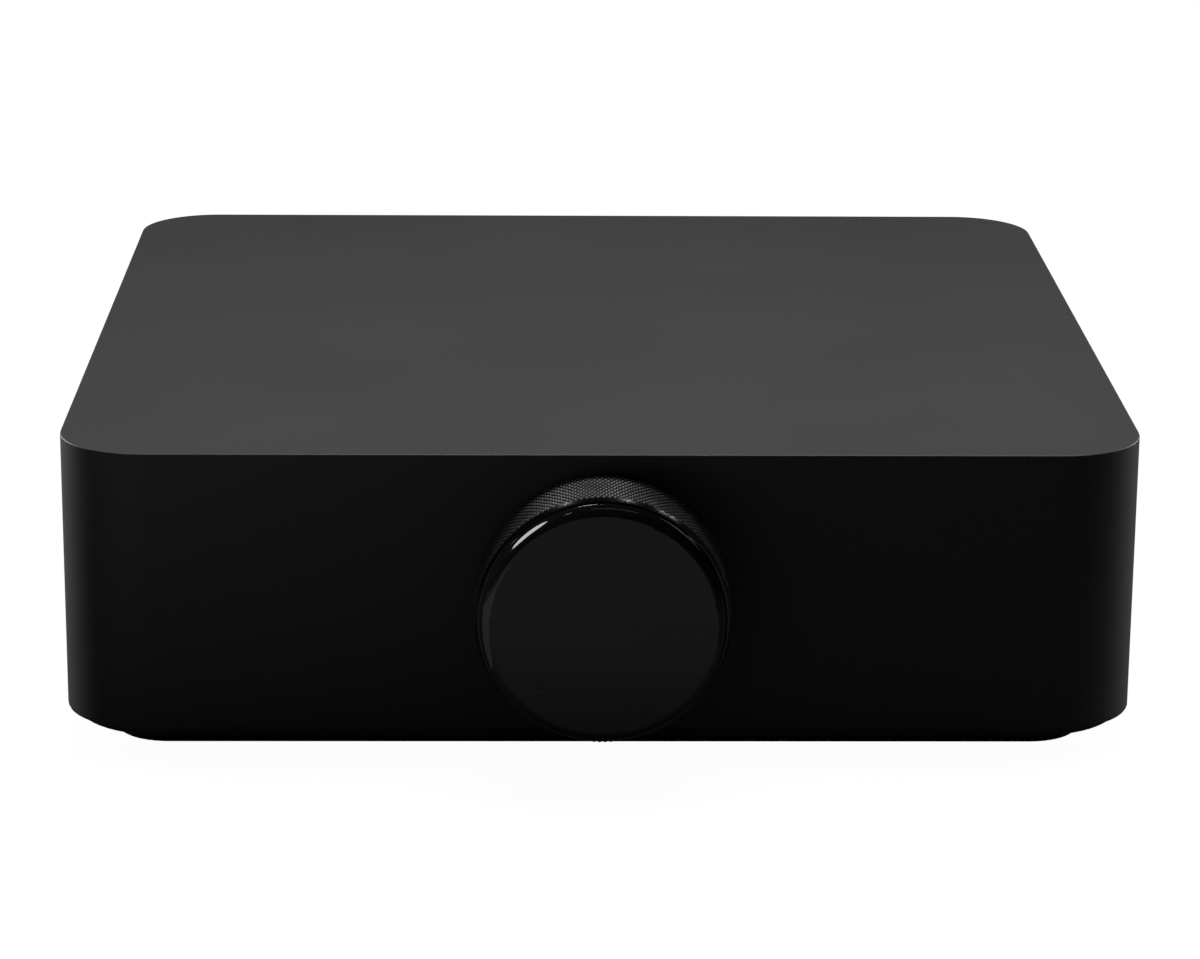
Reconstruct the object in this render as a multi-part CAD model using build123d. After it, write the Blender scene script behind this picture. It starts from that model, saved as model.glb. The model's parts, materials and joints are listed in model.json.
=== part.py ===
from build123d import *
import math
import os

# A compact stereo amplifier: a low square metal box on a recessed base, with one knurled control ring
# round a disc of display glass. All sizes are in millimetres. The origin is the middle of the footprint
# on the table, +X to the right of someone facing the front, +Y to the back, +Z up.

# Housing
width = 215.0
depth = 215.0
top = 63.0
housing_bottom = 6.0
corner_radius = 17.5
wall = 3.0
top_wall = 3.0
top_edge_radius = 0.3
bottom_edge_radius = 0.7

# General clearances
close_gap = 0.02
slip_gap = 0.15
running_gap = 0.05
body_gap = 0.3

# How far a cut reaches past the surface that it opens, and how much deeper a hole is than its screw
cut_past = 1.0
hole_spare = 0.4

# Base cover and foot ring
cover_inset = 1.7
cover_corner_radius = 19.0
cover_low = 4.1
cover_rim = 1.5
cover_edge_radius = 0.4
plate_thickness = 1.4
foot_inset = 9.5
foot_corner_radius = 11.0
foot_width = 8.0
foot_edge_radius = 0.5
vent_width = 2.4
vent_length = 34.0
vent_pitch = 5.0
vent_count = 9
vent_bank_x = 40.0
vent_bank_y = 26.0

# Screws
m3_radius = 1.45
m3_head_radius = 2.75
m3_head_height = 1.5
m3_length = 9.0
m2_radius = 1.1
m2_head_radius = 2.0
m2_head_height = 1.2
knob_screw_length = 7.6
panel_screw_length = 4.5
drive_share = 0.55
head_round_share = 1 / 3
thread_gap = 0.05
hole_gap = 0.25
pillar_radius = 4.5
pillar_x = 83.0
pillar_inset_y = 24.5
pillar_bore_depth = 12.0
counterbore_depth = 1.6
counterbore_gap = 0.45

# Rear window, the frame round it and the rear panel
window_width = 180.0
window_low = 10.0
window_high = 56.0
window_radius = 6.0
window_flange = 4.0
window_rebate = 2.0
frame_thickness = 6.0
frame_margin = 2.0
panel_thickness = 1.6
panel_vent_width = 2.0
panel_vent_height = 14.0
panel_vent_pitch = 4.5
panel_vent_count = 14
panel_vent_x = -42.0
panel_vent_z = 42.0

# Control ring, its bearing and the hub that carries it, with lengths measured forward from the front wall
knob_z = 34.0
ring_radius = 25.0
ring_rear = 0.8
ring_edge = 15.25
ring_front = 16.0
ring_lip_radius = 24.3
ring_front_bore = 23.9
hub_bore = 8.0
hub_tube_radius = 13.0
hub_tube_length = 12.0
hub_shoulder_radius = 14.2
hub_spigot_radius = 17.0
hub_flange_radius = 25.0
hub_flange_thickness = 3.0
hub_pad_radius = 26.4
hub_pad_thickness = 2.0
hub_screw_circle = 21.0
hub_screw_count = 4
hub_screw_start = 45.0
race_rear = 3.0
race_width = 5.0
race_split = 15.8
race_gap = 1.4
race_outer_radius = 18.6
ball_radius = 1.1
ball_count = 24
cage_thickness = 1.1
cage_width = 2.6
circlip_thickness = 0.9
circlip_depth = 0.6
circlip_opening = 30.0
web_bore = 17.0
magnet_inner_radius = 20.2
magnet_outer_radius = 23.2
magnet_thickness = 2.2
knob_board_thickness = 1.6
knob_board_bore = 8.6
knob_board_radius = 24.0

# Display glass, display and carrier
glass_radius = 24.0
glass_thickness = 2.65
glass_edge_radius = 2.15
carrier_wall = 1.2
carrier_floor = 1.2
carrier_bore = 6.0
carrier_screw_circle = 10.5
carrier_screw_count = 3
carrier_screw_start = 90.0
display_radius = 21.8
display_thickness = 1.6
cable_width = 8.0
cable_thickness = 0.3
cable_bend = 8.0
cable_drop_inset = 25.5
cable_end_inset = 8.0
cable_plug_length = 5.0
cable_plug_height = 2.5
cable_plug_margin = 1.0

# Boards, stand-offs and board screws
board_thickness = 1.6
standoff_height = 6.0
standoff_flats = 5.0
board_rear_gap = 10.5
board_front_gap = 39.5
power_board_left = -77.0
power_board_right = -17.0
main_board_left = -13.0
main_board_right = 77.0
board_screw_length = 5.0
standoff_inset = 4.0
rear_standoff_inset = 35.0
corner_standoff_inset = 13.0

# Parts on the power board, with insets measured forward from the board's rear edge
choke_x = -60.0
choke_inset = 21.0
choke_radius = 12.0
choke_bore = 6.0
choke_height = 11.0
choke_edge_radius = 2.0
fuse_x = -34.0
fuse_inset = 17.0
fuse_radius = 2.6
fuse_cap_radius = 3.1
fuse_length = 20.0
fuse_cap_length = 5.0
fuse_clip_width = 4.0
fuse_clip_wall = 0.5
fuse_lift = 5.0
transformer_x = -37.0
transformer_inset = 63.0
core_width = 34.0
core_depth = 14.0
core_height = 30.0
core_leg = 10.0
core_window_width = 7.0
core_window_height = 20.0
coil_gap = 0.3
coil_overhang = 5.0
bobbin_base = 2.0
capacitor_waist_share = 0.94
capacitor_crimp_share = 0.25
bulk_capacitor_x = -64.0
bulk_capacitor_insets = [53.5, 74.5]
bulk_capacitor_radius = 9.3
bulk_capacitor_height = 34.0
sink_left = -74.0
sink_right = -22.0
sink_inset = 97.0
sink_plate = 3.0
sink_height = 32.0
sink_fin_length = 16.0
sink_fin_thickness = 1.5
sink_fin_count = 10
transistor_count = 3
transistor_width = 10.0
transistor_height = 15.0
transistor_depth = 4.5
transistor_lift = 5.0
transistor_pitch = 15.0
transistor_lead = 1.0
transistor_lead_pitch = 2.54

# Parts on the main board, the rear ones placed from its rear edge and the others from its front edge
chip_xs = [28.0, 58.0]
chip_side = 14.0
chip_height = 2.4
cooler_left = 12.0
cooler_right = 74.0
cooler_inset = 63.0
cooler_length = 40.0
cooler_base = 5.0
cooler_top_gap = 2.0
cooler_fin_thickness = 1.6
cooler_fin_count = 13
coil_row_inset = 47.0
capacitor_row_inset = 25.0
output_first_x = 14.0
output_pitch = 18.0
output_count = 4
output_coil_side = 14.0
output_coil_height = 11.0
output_coil_radius = 3.0
output_capacitor_radius = 6.3
output_capacitor_height = 22.0
front_row_inset = 27.0
shield_x = 18.0
shield_side = 24.0
shield_height = 4.0
shield_wall = 0.6
shield_corner_radius = 1.5
module_x = 46.0
module_width = 20.0
module_length = 26.0
module_board = 1.0
module_can_height = 2.2
module_can_length = 16.0
module_margin = 1.0
module_corner_radius = 0.5
harness_x = -15.0
harness_inset = 20.0
harness_radius = 9.0
harness_thickness = 1.4
harness_width = 9.0
header_width = 6.0
header_length = 12.0
header_height = 7.0

# Sockets on the rear, with depths measured inward from the panel's outer face
socket_gap = 0.2
inlet_x = -60.0
inlet_width = 22.0
inlet_height = 12.0
inlet_depth = 13.0
inlet_flange_width = 28.0
inlet_flange_height = 17.0
inlet_flange_thickness = 2.0
inlet_corner_radius = 2.0
inlet_recess_radius = 4.5
inlet_pin_pitch = 8.4
inlet_waist = 7.6
inlet_floor = 2.0
inlet_pin_radius = 1.2
inlet_pin_length = 9.0
inlet_tail = 4.0
network_x = -4.5
network_width = 16.0
network_height = 13.5
network_depth = 18.0
network_mouth_width = 11.8
network_mouth_height = 8.2
network_mouth_depth = 13.0
network_latch_width = 6.2
network_latch_height = 2.4
network_roof = 1.4
hdmi_x = 13.5
hdmi_width = 15.0
hdmi_height = 6.2
hdmi_depth = 11.0
hdmi_wall = 0.6
hdmi_tongue_width = 10.5
hdmi_tongue_height = 1.5
hdmi_tongue_setback = 1.5
hdmi_floor = 1.5
optical_x = 36.0
optical_width = 13.4
optical_height = 10.0
optical_depth = 12.6
optical_mouth_width = 8.6
optical_mouth_height = 8.0
optical_mouth_depth = 10.0
shutter_setback = 1.0
shutter_thickness = 0.8
shutter_side_gap = 0.2
shutter_pin_radius = 0.5
shutter_pin_reach = 1.2
shutter_barrel_radius = 0.7
shutter_barrel_drop = 1.0
phono_xs = [50.0, 61.0, 72.0]
phono_block_width = 10.0
phono_block_height = 13.0
phono_block_depth = 12.0
phono_barrel_radius = 4.15
phono_barrel_bore = 3.5
phono_barrel_length = 9.0
phono_flange_radius = 5.3
phono_flange_thickness = 0.8
phono_core_setback = 0.6
phono_contact_radius = 1.6
phono_contact_depth = 10.0

# Pairing button and the switch behind it
button_x = 26.0
button_radius = 1.9
button_gap = 0.15
button_stand = 0.9
button_flange_radius = 3.0
button_flange_thickness = 1.4
button_edge_radius = 0.4
button_travel = 0.7
switch_gap = 0.1
switch_side = 6.0
switch_depth = 4.2
switch_nub_radius = 1.5
switch_nub_length = 0.5

# Loudspeaker binding posts, with lengths measured outward from the panel
post_first_x = 10.0
post_pitch = 19.0
post_z = 41.0
post_names = ["right_plus", "right_minus", "left_plus", "left_minus"]
collar_radius = 6.5
collar_thickness = 2.0
collar_spigot_radius = 5.0
collar_edge_radius = 0.5
stud_radius = 3.0
stud_shoulder_radius = 4.5
stud_shoulder_thickness = 1.2
stud_tip = 18.8
stud_tail = 12.0
stud_bore_radius = 2.0
stud_bore_depth = 12.0
stud_wire_hole_radius = 1.3
stud_wire_hole_lift = 0.4
stud_chamfer = 0.4
nut_flats = 9.0
nut_thickness = 3.0
washer_radius = 5.2
washer_thickness = 1.2
cap_radius = 6.0
cap_length = 15.0
cap_edge_radius = 0.6
cap_flute_radius = 0.8
cap_flute_count = 16
cap_flute_depth = 0.45
cap_skirt = 2.0

# Heights and planes that follow from the sizes above
front_y = -depth / 2
rear_y = depth / 2 - window_rebate + panel_thickness
plate_low = cover_low + cover_rim
plate_top = plate_low + plate_thickness
board_low = plate_top + standoff_height
board_top = board_low + board_thickness
board_front = front_y + board_front_gap
board_rear = depth / 2 - board_rear_gap
pillar_y = depth / 2 - pillar_inset_y
hub_rear = -wall - hub_pad_thickness - hub_flange_thickness
race_front = race_rear + race_width
carrier_radius = ring_front_bore - body_gap
glass_rear = ring_front + body_gap
carrier_wall_bore = carrier_radius - carrier_wall
cable_drop_y = front_y + cable_drop_inset
cable_end_y = board_front + cable_end_inset
choke_y = board_rear - choke_inset
fuse_y = board_rear - fuse_inset
transformer_y = board_rear - transformer_inset
sink_rear = board_rear - sink_inset
cooler_rear = board_rear - cooler_inset
cooler_front = cooler_rear - cooler_length
front_row_y = board_front + front_row_inset
harness_y = board_front + harness_inset
post_xs = [post_first_x + post_pitch * index for index in range(len(post_names))]
inlet_z = board_top + inlet_height / 2
network_z = board_top + network_height / 2
hdmi_z = board_top + hdmi_height / 2
optical_z = board_top + optical_height / 2
phono_z = board_top + phono_block_height / 2
button_z = board_top + switch_side / 2
washer_rear = collar_thickness + stud_shoulder_thickness + running_gap
cap_rear = washer_rear + washer_thickness + running_gap


def block(x_low, x_high, y_low, y_high, z_low, z_high):
    """Plain block between two corners."""
    size = (x_high - x_low, y_high - y_low, z_high - z_low)
    centre = ((x_low + x_high) / 2, (y_low + y_high) / 2, (z_low + z_high) / 2)
    return Pos(*centre) * Box(*size)


def slab(slab_width, slab_length, radius, low, high, place=(0.0, 0.0)):
    """Upright slab with rounded corners between two heights."""
    outline = RectangleRounded(slab_width, slab_length, radius)
    return Pos(place[0], place[1], low) * extrude(outline, high - low)


def rod(radius, low, high):
    """Cylinder along the local Z axis between two heights."""
    return Pos(0, 0, low) * Cylinder(radius, high - low, align=(Align.CENTER, Align.CENTER, Align.MIN))


def tube(outer, inner, low, high):
    """Tube along the local Z axis between two heights."""
    return rod(outer, low, high) - rod(inner, low - cut_past, high + cut_past)


def turned(points):
    """Solid of revolution from (radius, height) corners."""
    face = make_face(Plane.XZ * Polyline(*points, close=True))
    return revolve(face, Axis.Z)


def front(x=0.0, z=0.0):
    """Place whose local Z points forward from the front wall, on the knob's centre."""
    return Plane(origin=(x, front_y, knob_z + z), x_dir=(1, 0, 0), z_dir=(0, -1, 0)).location


def rear(x, z):
    """Place whose local Z points backward from the rear panel's outer face."""
    return Plane(origin=(x, rear_y, z), x_dir=(-1, 0, 0), z_dir=(0, 1, 0)).location


def group(shapes):
    """Separate solids that share one node."""
    return Compound([solid for shape in shapes for solid in shape.solids()])


def around(radius, count, start=0.0):
    """Places evenly spaced on a circle about the local Z axis."""
    angles = [math.radians(start + 360.0 * index / count) for index in range(count)]
    return [Pos(radius * math.cos(angle), radius * math.sin(angle), 0) for angle in angles]


def screw(radius, length, head_radius, head_height):
    """Pan-head screw with its head above the local origin, a hexagon drive and a plain shank."""
    head = rod(head_radius, 0, head_height)
    head = fillet(head.edges().sort_by(Axis.Z)[-1], head_height * head_round_share)
    drive = Pos(0, 0, head_height * (1 - drive_share))
    drive = drive * extrude(RegularPolygon(head_radius * drive_share, 6), head_height)
    return head - drive + rod(radius, -length, 0)


def base_screw_places():
    """Places of the six screws that hold the base cover."""
    return [(x, y) for x in (-pillar_x, pillar_x) for y in (-pillar_y, 0.0, pillar_y)]


def panel_screw_places():
    """Places of the rear panel's screws, on the middle of the frame that the panel rests on."""
    reach = (window_radius - window_flange / 2) / math.sqrt(2)
    side = window_width / 2 - window_radius + reach
    low = window_low + window_radius - reach
    high = window_high - window_radius + reach
    edge_low = window_low + window_flange / 2
    edge_high = window_high - window_flange / 2
    corners = [(x, z) for x in (-side, side) for z in (low, high)]
    return corners + [(0.0, edge_low), (0.0, edge_high)]


def window_cut(inset, y_low, y_high):
    """Rounded rectangular cut of the rear window, smaller by the inset on every side."""
    opening = RectangleRounded(
        window_width - 2 * inset, window_high - window_low - 2 * inset, window_radius - inset
    )
    middle = (window_low + window_high) / 2
    plane = Plane(origin=(0, y_low, middle), x_dir=(-1, 0, 0), z_dir=(0, 1, 0))
    return extrude(plane * opening, y_high - y_low)


# Exterior

def housing():
    """Top and four sides in one piece, with pillars, the hub's pad and the frame of the rear window."""
    shell = slab(width, depth, corner_radius, housing_bottom, top)
    shell = fillet(shell.faces().sort_by(Axis.Z)[-1].edges(), top_edge_radius)
    shell = fillet(shell.faces().sort_by(Axis.Z)[0].edges(), bottom_edge_radius)
    inner_radius = corner_radius - wall
    ceiling = top - top_wall
    shell -= slab(width - 2 * wall, depth - 2 * wall, inner_radius, housing_bottom - cut_past, ceiling)
    for x, y in base_screw_places():
        pillar = Pos(x, y, 0) * rod(pillar_radius, plate_top, ceiling + top_wall / 2)
        shell += pillar - Pos(x, y, 0) * rod(m3_radius + thread_gap, plate_top, plate_top + pillar_bore_depth)
    frame = block(
        -window_width / 2 - frame_margin,
        window_width / 2 + frame_margin,
        depth / 2 - frame_thickness,
        depth / 2 - wall / 2,
        window_low - frame_margin,
        window_high + frame_margin,
    )
    shell += frame
    shell -= window_cut(0.0, depth / 2 - window_rebate, depth / 2 + cut_past)
    shell -= window_cut(window_flange, depth / 2 - frame_thickness - cut_past, depth / 2)
    for x, z in panel_screw_places():
        shell -= rear(x, z) * rod(m2_radius + thread_gap, -panel_screw_length - hole_spare, 0)
    pad = tube(hub_pad_radius, hub_spigot_radius, -wall - hub_pad_thickness, -wall / 2)
    shell += front() * pad
    shell -= front() * rod(hub_spigot_radius + slip_gap, -wall - hub_pad_thickness - cut_past, cut_past)
    pad_rear = -wall - hub_pad_thickness
    hole_depth = knob_screw_length - hub_flange_thickness - knob_board_thickness + hole_spare
    for place in around(hub_screw_circle, hub_screw_count, hub_screw_start):
        hole = rod(m2_radius + thread_gap, pad_rear - cut_past, pad_rear + hole_depth)
        shell -= front() * place * hole
    return shell


def base_cover():
    """Recessed bottom plate with a rim, a raised middle that fits the housing, vents and screw holes."""
    rim = slab(
        width - 2 * cover_inset, depth - 2 * cover_inset, cover_corner_radius, cover_low, plate_low
    )
    rim = fillet(rim.faces().sort_by(Axis.Z)[0].edges(), cover_edge_radius)
    plate_inset = wall + body_gap
    plate = slab(
        width - 2 * plate_inset,
        depth - 2 * plate_inset,
        corner_radius - plate_inset,
        plate_low - cover_rim / 2,
        plate_top,
    )
    cover = rim + plate
    slot = extrude(SlotOverall(vent_length, vent_width, rotation=90), plate_top + cut_past)
    for bank_x in (-vent_bank_x, vent_bank_x):
        for bank_y in (-vent_bank_y, vent_bank_y):
            for index in range(vent_count):
                x = bank_x + vent_pitch * (index - (vent_count - 1) / 2)
                cover -= Pos(x, bank_y, 0) * slot
    for x, y in base_screw_places():
        cover -= Pos(x, y, 0) * rod(m3_radius + hole_gap, 0, plate_top + cut_past)
        cover -= Pos(x, y, 0) * rod(m3_head_radius + counterbore_gap, 0, cover_low + counterbore_depth)
    return cover


def foot_ring():
    """Ring that the amplifier stands on, stuck under the base cover."""
    foot_side = width - 2 * foot_inset
    foot_length = depth - 2 * foot_inset
    ring = slab(foot_side, foot_length, foot_corner_radius, 0, cover_low)
    ring = fillet(ring.faces().sort_by(Axis.Z)[0].edges(), foot_edge_radius)
    return ring - slab(
        foot_side - 2 * foot_width,
        foot_length - 2 * foot_width,
        foot_corner_radius - foot_width,
        -cut_past,
        cover_low + cut_past,
    )


def base_screws():
    """Six screws from below through the base cover into the housing's pillars."""
    head_seat = cover_low + counterbore_depth
    one = Rot(180, 0, 0) * screw(m3_radius, m3_length, m3_head_radius, m3_head_height)
    return group([Pos(x, y, head_seat) * one for x, y in base_screw_places()])


def rear_panel():
    """Flat panel in the rear window, with a cut-out for each socket and post, and vent slots."""
    panel = window_cut(slip_gap, rear_y - panel_thickness, rear_y)
    through = (-panel_thickness - cut_past, cut_past)
    for x, z in panel_screw_places():
        panel -= rear(x, z) * rod(m2_radius + slip_gap, *through)
    cut_outs = [
        (inlet_x, inlet_z, inlet_width, inlet_height),
        (network_x, network_z, network_width, network_height),
        (hdmi_x, hdmi_z, hdmi_width, hdmi_height),
        (optical_x, optical_z, optical_width, optical_height),
    ]
    for x, z, cut_width, cut_height in cut_outs:
        panel -= block(
            x - cut_width / 2 - socket_gap,
            x + cut_width / 2 + socket_gap,
            rear_y - panel_thickness - cut_past,
            rear_y + cut_past,
            z - cut_height / 2 - socket_gap,
            z + cut_height / 2 + socket_gap,
        )
    for x in post_xs:
        panel -= rear(x, post_z) * rod(collar_spigot_radius + slip_gap, *through)
    for x in phono_xs:
        panel -= rear(x, phono_z) * rod(phono_barrel_radius + socket_gap, *through)
    panel -= rear(button_x, button_z) * rod(button_radius + button_gap, *through)
    slot = Pos(0, 0, through[0]) * extrude(
        SlotOverall(panel_vent_height, panel_vent_width, rotation=90), through[1] - through[0]
    )
    for index in range(panel_vent_count):
        x = panel_vent_x + panel_vent_pitch * (index - (panel_vent_count - 1) / 2)
        panel -= rear(x, panel_vent_z) * slot
    return panel


def rear_panel_screws():
    """Six screws that hold the rear panel on the window's frame."""
    one = screw(m2_radius, panel_screw_length, m2_head_radius, m2_head_height)
    return group([rear(x, z) * one for x, z in panel_screw_places()])


# Control ring and display

def knob_ring():
    """Control ring with its bearing seat, circlip groove, magnet pocket and inner web."""
    race_seat = race_outer_radius + close_gap
    groove_radius = race_outer_radius + circlip_depth
    groove_rear = race_rear - circlip_thickness - running_gap
    pocket_front = ring_rear + body_gap + magnet_thickness
    ring = turned(
        [
            (ring_radius, ring_rear),
            (ring_radius, ring_edge),
            (ring_lip_radius, ring_front),
            (ring_front_bore, ring_front),
            (ring_front_bore, hub_tube_length - body_gap),
            (web_bore, hub_tube_length - body_gap),
            (web_bore, race_front),
            (race_seat, race_front),
            (race_seat, race_rear + running_gap),
            (groove_radius, race_rear + running_gap),
            (groove_radius, groove_rear),
            (race_seat, groove_rear),
            (race_seat, ring_rear),
        ]
    )
    pocket = tube(
        magnet_outer_radius + close_gap, magnet_inner_radius - close_gap, ring_rear - cut_past, pocket_front
    )
    return front() * (ring - pocket)


def magnet_ring():
    """Ring magnet in the control ring's rear pocket."""
    magnet_rear = ring_rear + body_gap
    ring = tube(magnet_outer_radius, magnet_inner_radius, magnet_rear, magnet_rear + magnet_thickness)
    return front() * ring


def race_groove():
    """Torus that cuts the ball groove in both races."""
    groove = Torus(race_split, ball_radius + running_gap)
    return Pos(0, 0, race_rear + race_width / 2) * groove


def bearing_inner_race():
    """Inner race of the thin ball bearing, on the hub's tube."""
    race = tube(race_split - race_gap / 2, hub_tube_radius + close_gap, race_rear, race_front)
    return front() * (race - race_groove())


def bearing_outer_race():
    """Outer race of the thin ball bearing, in the control ring."""
    race = tube(race_outer_radius, race_split + race_gap / 2, race_rear, race_front)
    return front() * (race - race_groove())


def ball_places():
    """Places of the balls on the bearing's pitch circle."""
    middle = Pos(0, 0, race_rear + race_width / 2)
    return [middle * place for place in around(race_split, ball_count)]


def bearing_balls():
    """Balls of the bearing."""
    return group([front() * place * Sphere(ball_radius) for place in ball_places()])


def bearing_cage():
    """Cage that keeps the balls apart."""
    middle = race_rear + race_width / 2
    cage = tube(
        race_split + cage_thickness / 2,
        race_split - cage_thickness / 2,
        middle - cage_width / 2,
        middle + cage_width / 2,
    )
    pocket_low = race_split - cage_thickness
    pocket = Rot(0, 90, 0) * rod(ball_radius + running_gap, pocket_low, race_split + cage_thickness)
    for index in range(ball_count):
        cage -= Pos(0, 0, middle) * Rot(0, 0, 360.0 * index / ball_count) * pocket
    return front() * cage


def bearing_circlip():
    """Open retaining ring behind the outer race, in the control ring's groove."""
    clip = tube(
        race_outer_radius + circlip_depth - running_gap,
        race_outer_radius - 2 * circlip_depth,
        race_rear - circlip_thickness,
        race_rear,
    )
    reach = 2 * race_outer_radius
    half = math.radians(circlip_opening / 2)
    notch = make_face(
        Polyline(
            (0, 0),
            (reach * math.sin(half), -reach * math.cos(half)),
            (-reach * math.sin(half), -reach * math.cos(half)),
            close=True,
        )
    )
    return front() * (clip - extrude(notch, race_rear + cut_past))


def knob_hub():
    """Hollow hub through the front wall, with a flange inside and a tube that carries the bearing."""
    hub = rod(hub_flange_radius, hub_rear, hub_rear + hub_flange_thickness)
    hub += rod(hub_spigot_radius, hub_rear + hub_flange_thickness, 0)
    hub += rod(hub_shoulder_radius, 0, race_rear)
    hub += rod(hub_tube_radius, race_rear, hub_tube_length)
    hub -= rod(hub_bore, hub_rear - cut_past, hub_tube_length + cut_past)
    for place in around(hub_screw_circle, hub_screw_count, hub_screw_start):
        hub -= place * rod(m2_radius + hole_gap, hub_rear - cut_past, 0)
    hole_low = hub_tube_length - knob_screw_length + carrier_floor - hole_spare
    for place in around(carrier_screw_circle, carrier_screw_count, carrier_screw_start):
        hub -= place * rod(m2_radius + thread_gap, hole_low, hub_tube_length + cut_past)
    return front() * hub


def display_carrier():
    """Cup on the hub's tube that holds the display and the glass, and clamps the inner race."""
    floor_front = hub_tube_length + carrier_floor
    cup = rod(carrier_radius, hub_tube_length, floor_front)
    cup += tube(carrier_radius, carrier_wall_bore, floor_front - carrier_floor / 2, glass_rear)
    cup += tube(
        hub_shoulder_radius, hub_tube_radius + running_gap, race_front, hub_tube_length + carrier_floor / 2
    )
    cup -= rod(carrier_bore, 0, floor_front + cut_past)
    for place in around(carrier_screw_circle, carrier_screw_count, carrier_screw_start):
        cup -= place * rod(m2_radius + slip_gap, 0, floor_front + cut_past)
    return front() * cup


def display_panel():
    """Round display bonded behind the glass."""
    return front() * rod(display_radius, glass_rear - display_thickness, glass_rear)


def glass_lens():
    """Glass disc with a rounded front edge."""
    disc = rod(glass_radius, glass_rear, glass_rear + glass_thickness)
    return front() * fillet(disc.edges().sort_by(Axis.Z)[-1], glass_edge_radius)


def knob_board():
    """Ring-shaped sensor board behind the hub's flange."""
    board = tube(knob_board_radius, knob_board_bore, hub_rear - knob_board_thickness, hub_rear)
    for place in around(hub_screw_circle, hub_screw_count, hub_screw_start):
        board -= place * rod(m2_radius + hole_gap, hub_rear - knob_board_thickness - cut_past, 0)
    return front() * board


def knob_screws():
    """Four screws of the hub and three of the carrier, all alike."""
    one = screw(m2_radius, knob_screw_length, m2_head_radius, m2_head_height)
    seat = hub_rear - knob_board_thickness
    hub_side = [
        front() * place * Pos(0, 0, seat) * Rot(180, 0, 0) * one
        for place in around(hub_screw_circle, hub_screw_count, hub_screw_start)
    ]
    floor_front = hub_tube_length + carrier_floor
    carrier_side = [
        front() * place * Pos(0, 0, floor_front) * one
        for place in around(carrier_screw_circle, carrier_screw_count, carrier_screw_start)
    ]
    return group(hub_side + carrier_side)


def display_cable():
    """Flat cable from the display through the hollow hub to a plug on the main board."""
    start_y = front_y - glass_rear + display_thickness
    end_z = board_top + cable_plug_height / 2
    path = FilletPolyline(
        (0, start_y, knob_z),
        (0, cable_drop_y, knob_z),
        (0, cable_drop_y, end_z),
        (0, cable_end_y, end_z),
        radius=cable_bend,
    )
    section = Plane(origin=(0, start_y, knob_z), x_dir=(1, 0, 0), z_dir=(0, 1, 0))
    ribbon = sweep(section * Rectangle(cable_width, cable_thickness), path)
    plug = block(
        -cable_width / 2 - cable_plug_margin,
        cable_width / 2 + cable_plug_margin,
        cable_end_y,
        cable_end_y + cable_plug_length,
        board_top,
        board_top + cable_plug_height,
    )
    return ribbon + plug


# Boards

def power_standoff_places():
    """Places of the power board's stand-offs."""
    xs = (power_board_left + standoff_inset, power_board_right - standoff_inset)
    ys = (board_front + standoff_inset, board_rear - rear_standoff_inset)
    return [(x, y) for y in ys for x in xs]


def main_standoff_places():
    """Places of the main board's stand-offs."""
    left = main_board_left + standoff_inset
    right = main_board_right - standoff_inset
    low = board_front + standoff_inset
    return [
        (left, low),
        (right, low),
        (left, board_rear - rear_standoff_inset),
        (right, board_rear - corner_standoff_inset),
    ]


def board(left, right, standoffs):
    """Circuit board between two sides, with a hole over each stand-off."""
    plate = block(left, right, board_front, board_rear, board_low, board_top)
    for x, y in standoffs:
        plate -= Pos(x, y, 0) * rod(m3_radius + hole_gap, board_low - cut_past, board_top + cut_past)
    return plate


def board_standoffs():
    """Hexagonal stand-offs between the base cover and the boards."""
    sides = RegularPolygon(standoff_flats / 2, 6, major_radius=False)
    one = Pos(0, 0, plate_top) * extrude(sides, standoff_height)
    one -= rod(m3_radius + thread_gap, plate_top + cut_past, board_low + cut_past)
    return group([Pos(x, y, 0) * one for x, y in power_standoff_places() + main_standoff_places()])


def board_screws():
    """Screws that hold the boards on the stand-offs."""
    one = screw(m3_radius, board_screw_length, m3_head_radius, m3_head_height)
    places = power_standoff_places() + main_standoff_places()
    return group([Pos(x, y, board_top) * one for x, y in places])


def capacitor(radius, height):
    """Upright round capacitor with a crimped waist near its foot."""
    waist = radius * capacitor_waist_share
    crimp = radius * capacitor_crimp_share
    can = turned(
        [
            (0, 0),
            (radius, 0),
            (radius, crimp),
            (waist, 1.5 * crimp),
            (radius, 2 * crimp),
            (radius, height - crimp / 2),
            (radius - crimp / 2, height),
            (0, height),
        ]
    )
    return Pos(0, 0, board_top) * can


# Parts on the power board

def line_choke():
    """Toroidal choke of the mains filter."""
    ring = tube(choke_radius, choke_bore, board_top, board_top + choke_height)
    ring = fillet(ring.edges().filter_by(GeomType.CIRCLE), choke_edge_radius)
    return Pos(choke_x, choke_y, 0) * ring


def fuse():
    """Glass fuse with its end caps, in two clips on the board."""
    tube_turn = Rot(90, 0, 0)
    body = tube_turn * rod(fuse_radius, -fuse_length / 2, fuse_length / 2)
    for side in (-1, 1):
        cap_middle = side * (fuse_length - fuse_cap_length) / 2
        cap = rod(fuse_cap_radius, cap_middle - fuse_cap_length / 2, cap_middle + fuse_cap_length / 2)
        body += tube_turn * cap
        clip = block(
            -fuse_cap_radius - fuse_clip_wall,
            fuse_cap_radius + fuse_clip_wall,
            cap_middle - fuse_clip_width / 2,
            cap_middle + fuse_clip_width / 2,
            -fuse_lift,
            0,
        )
        body += clip
    return Pos(fuse_x, fuse_y, board_top + fuse_lift) * body


def transformer_core():
    """Ferrite core with two windows round its middle leg."""
    core = Box(core_width, core_depth, core_height)
    window_x = core_leg / 2 + core_window_width / 2
    for side in (-1, 1):
        core -= Pos(side * window_x, 0, 0) * Box(core_window_width, core_depth + cut_past, core_window_height)
    core_z = board_top + bobbin_base + core_height / 2
    return Pos(transformer_x, transformer_y, core_z) * core


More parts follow.
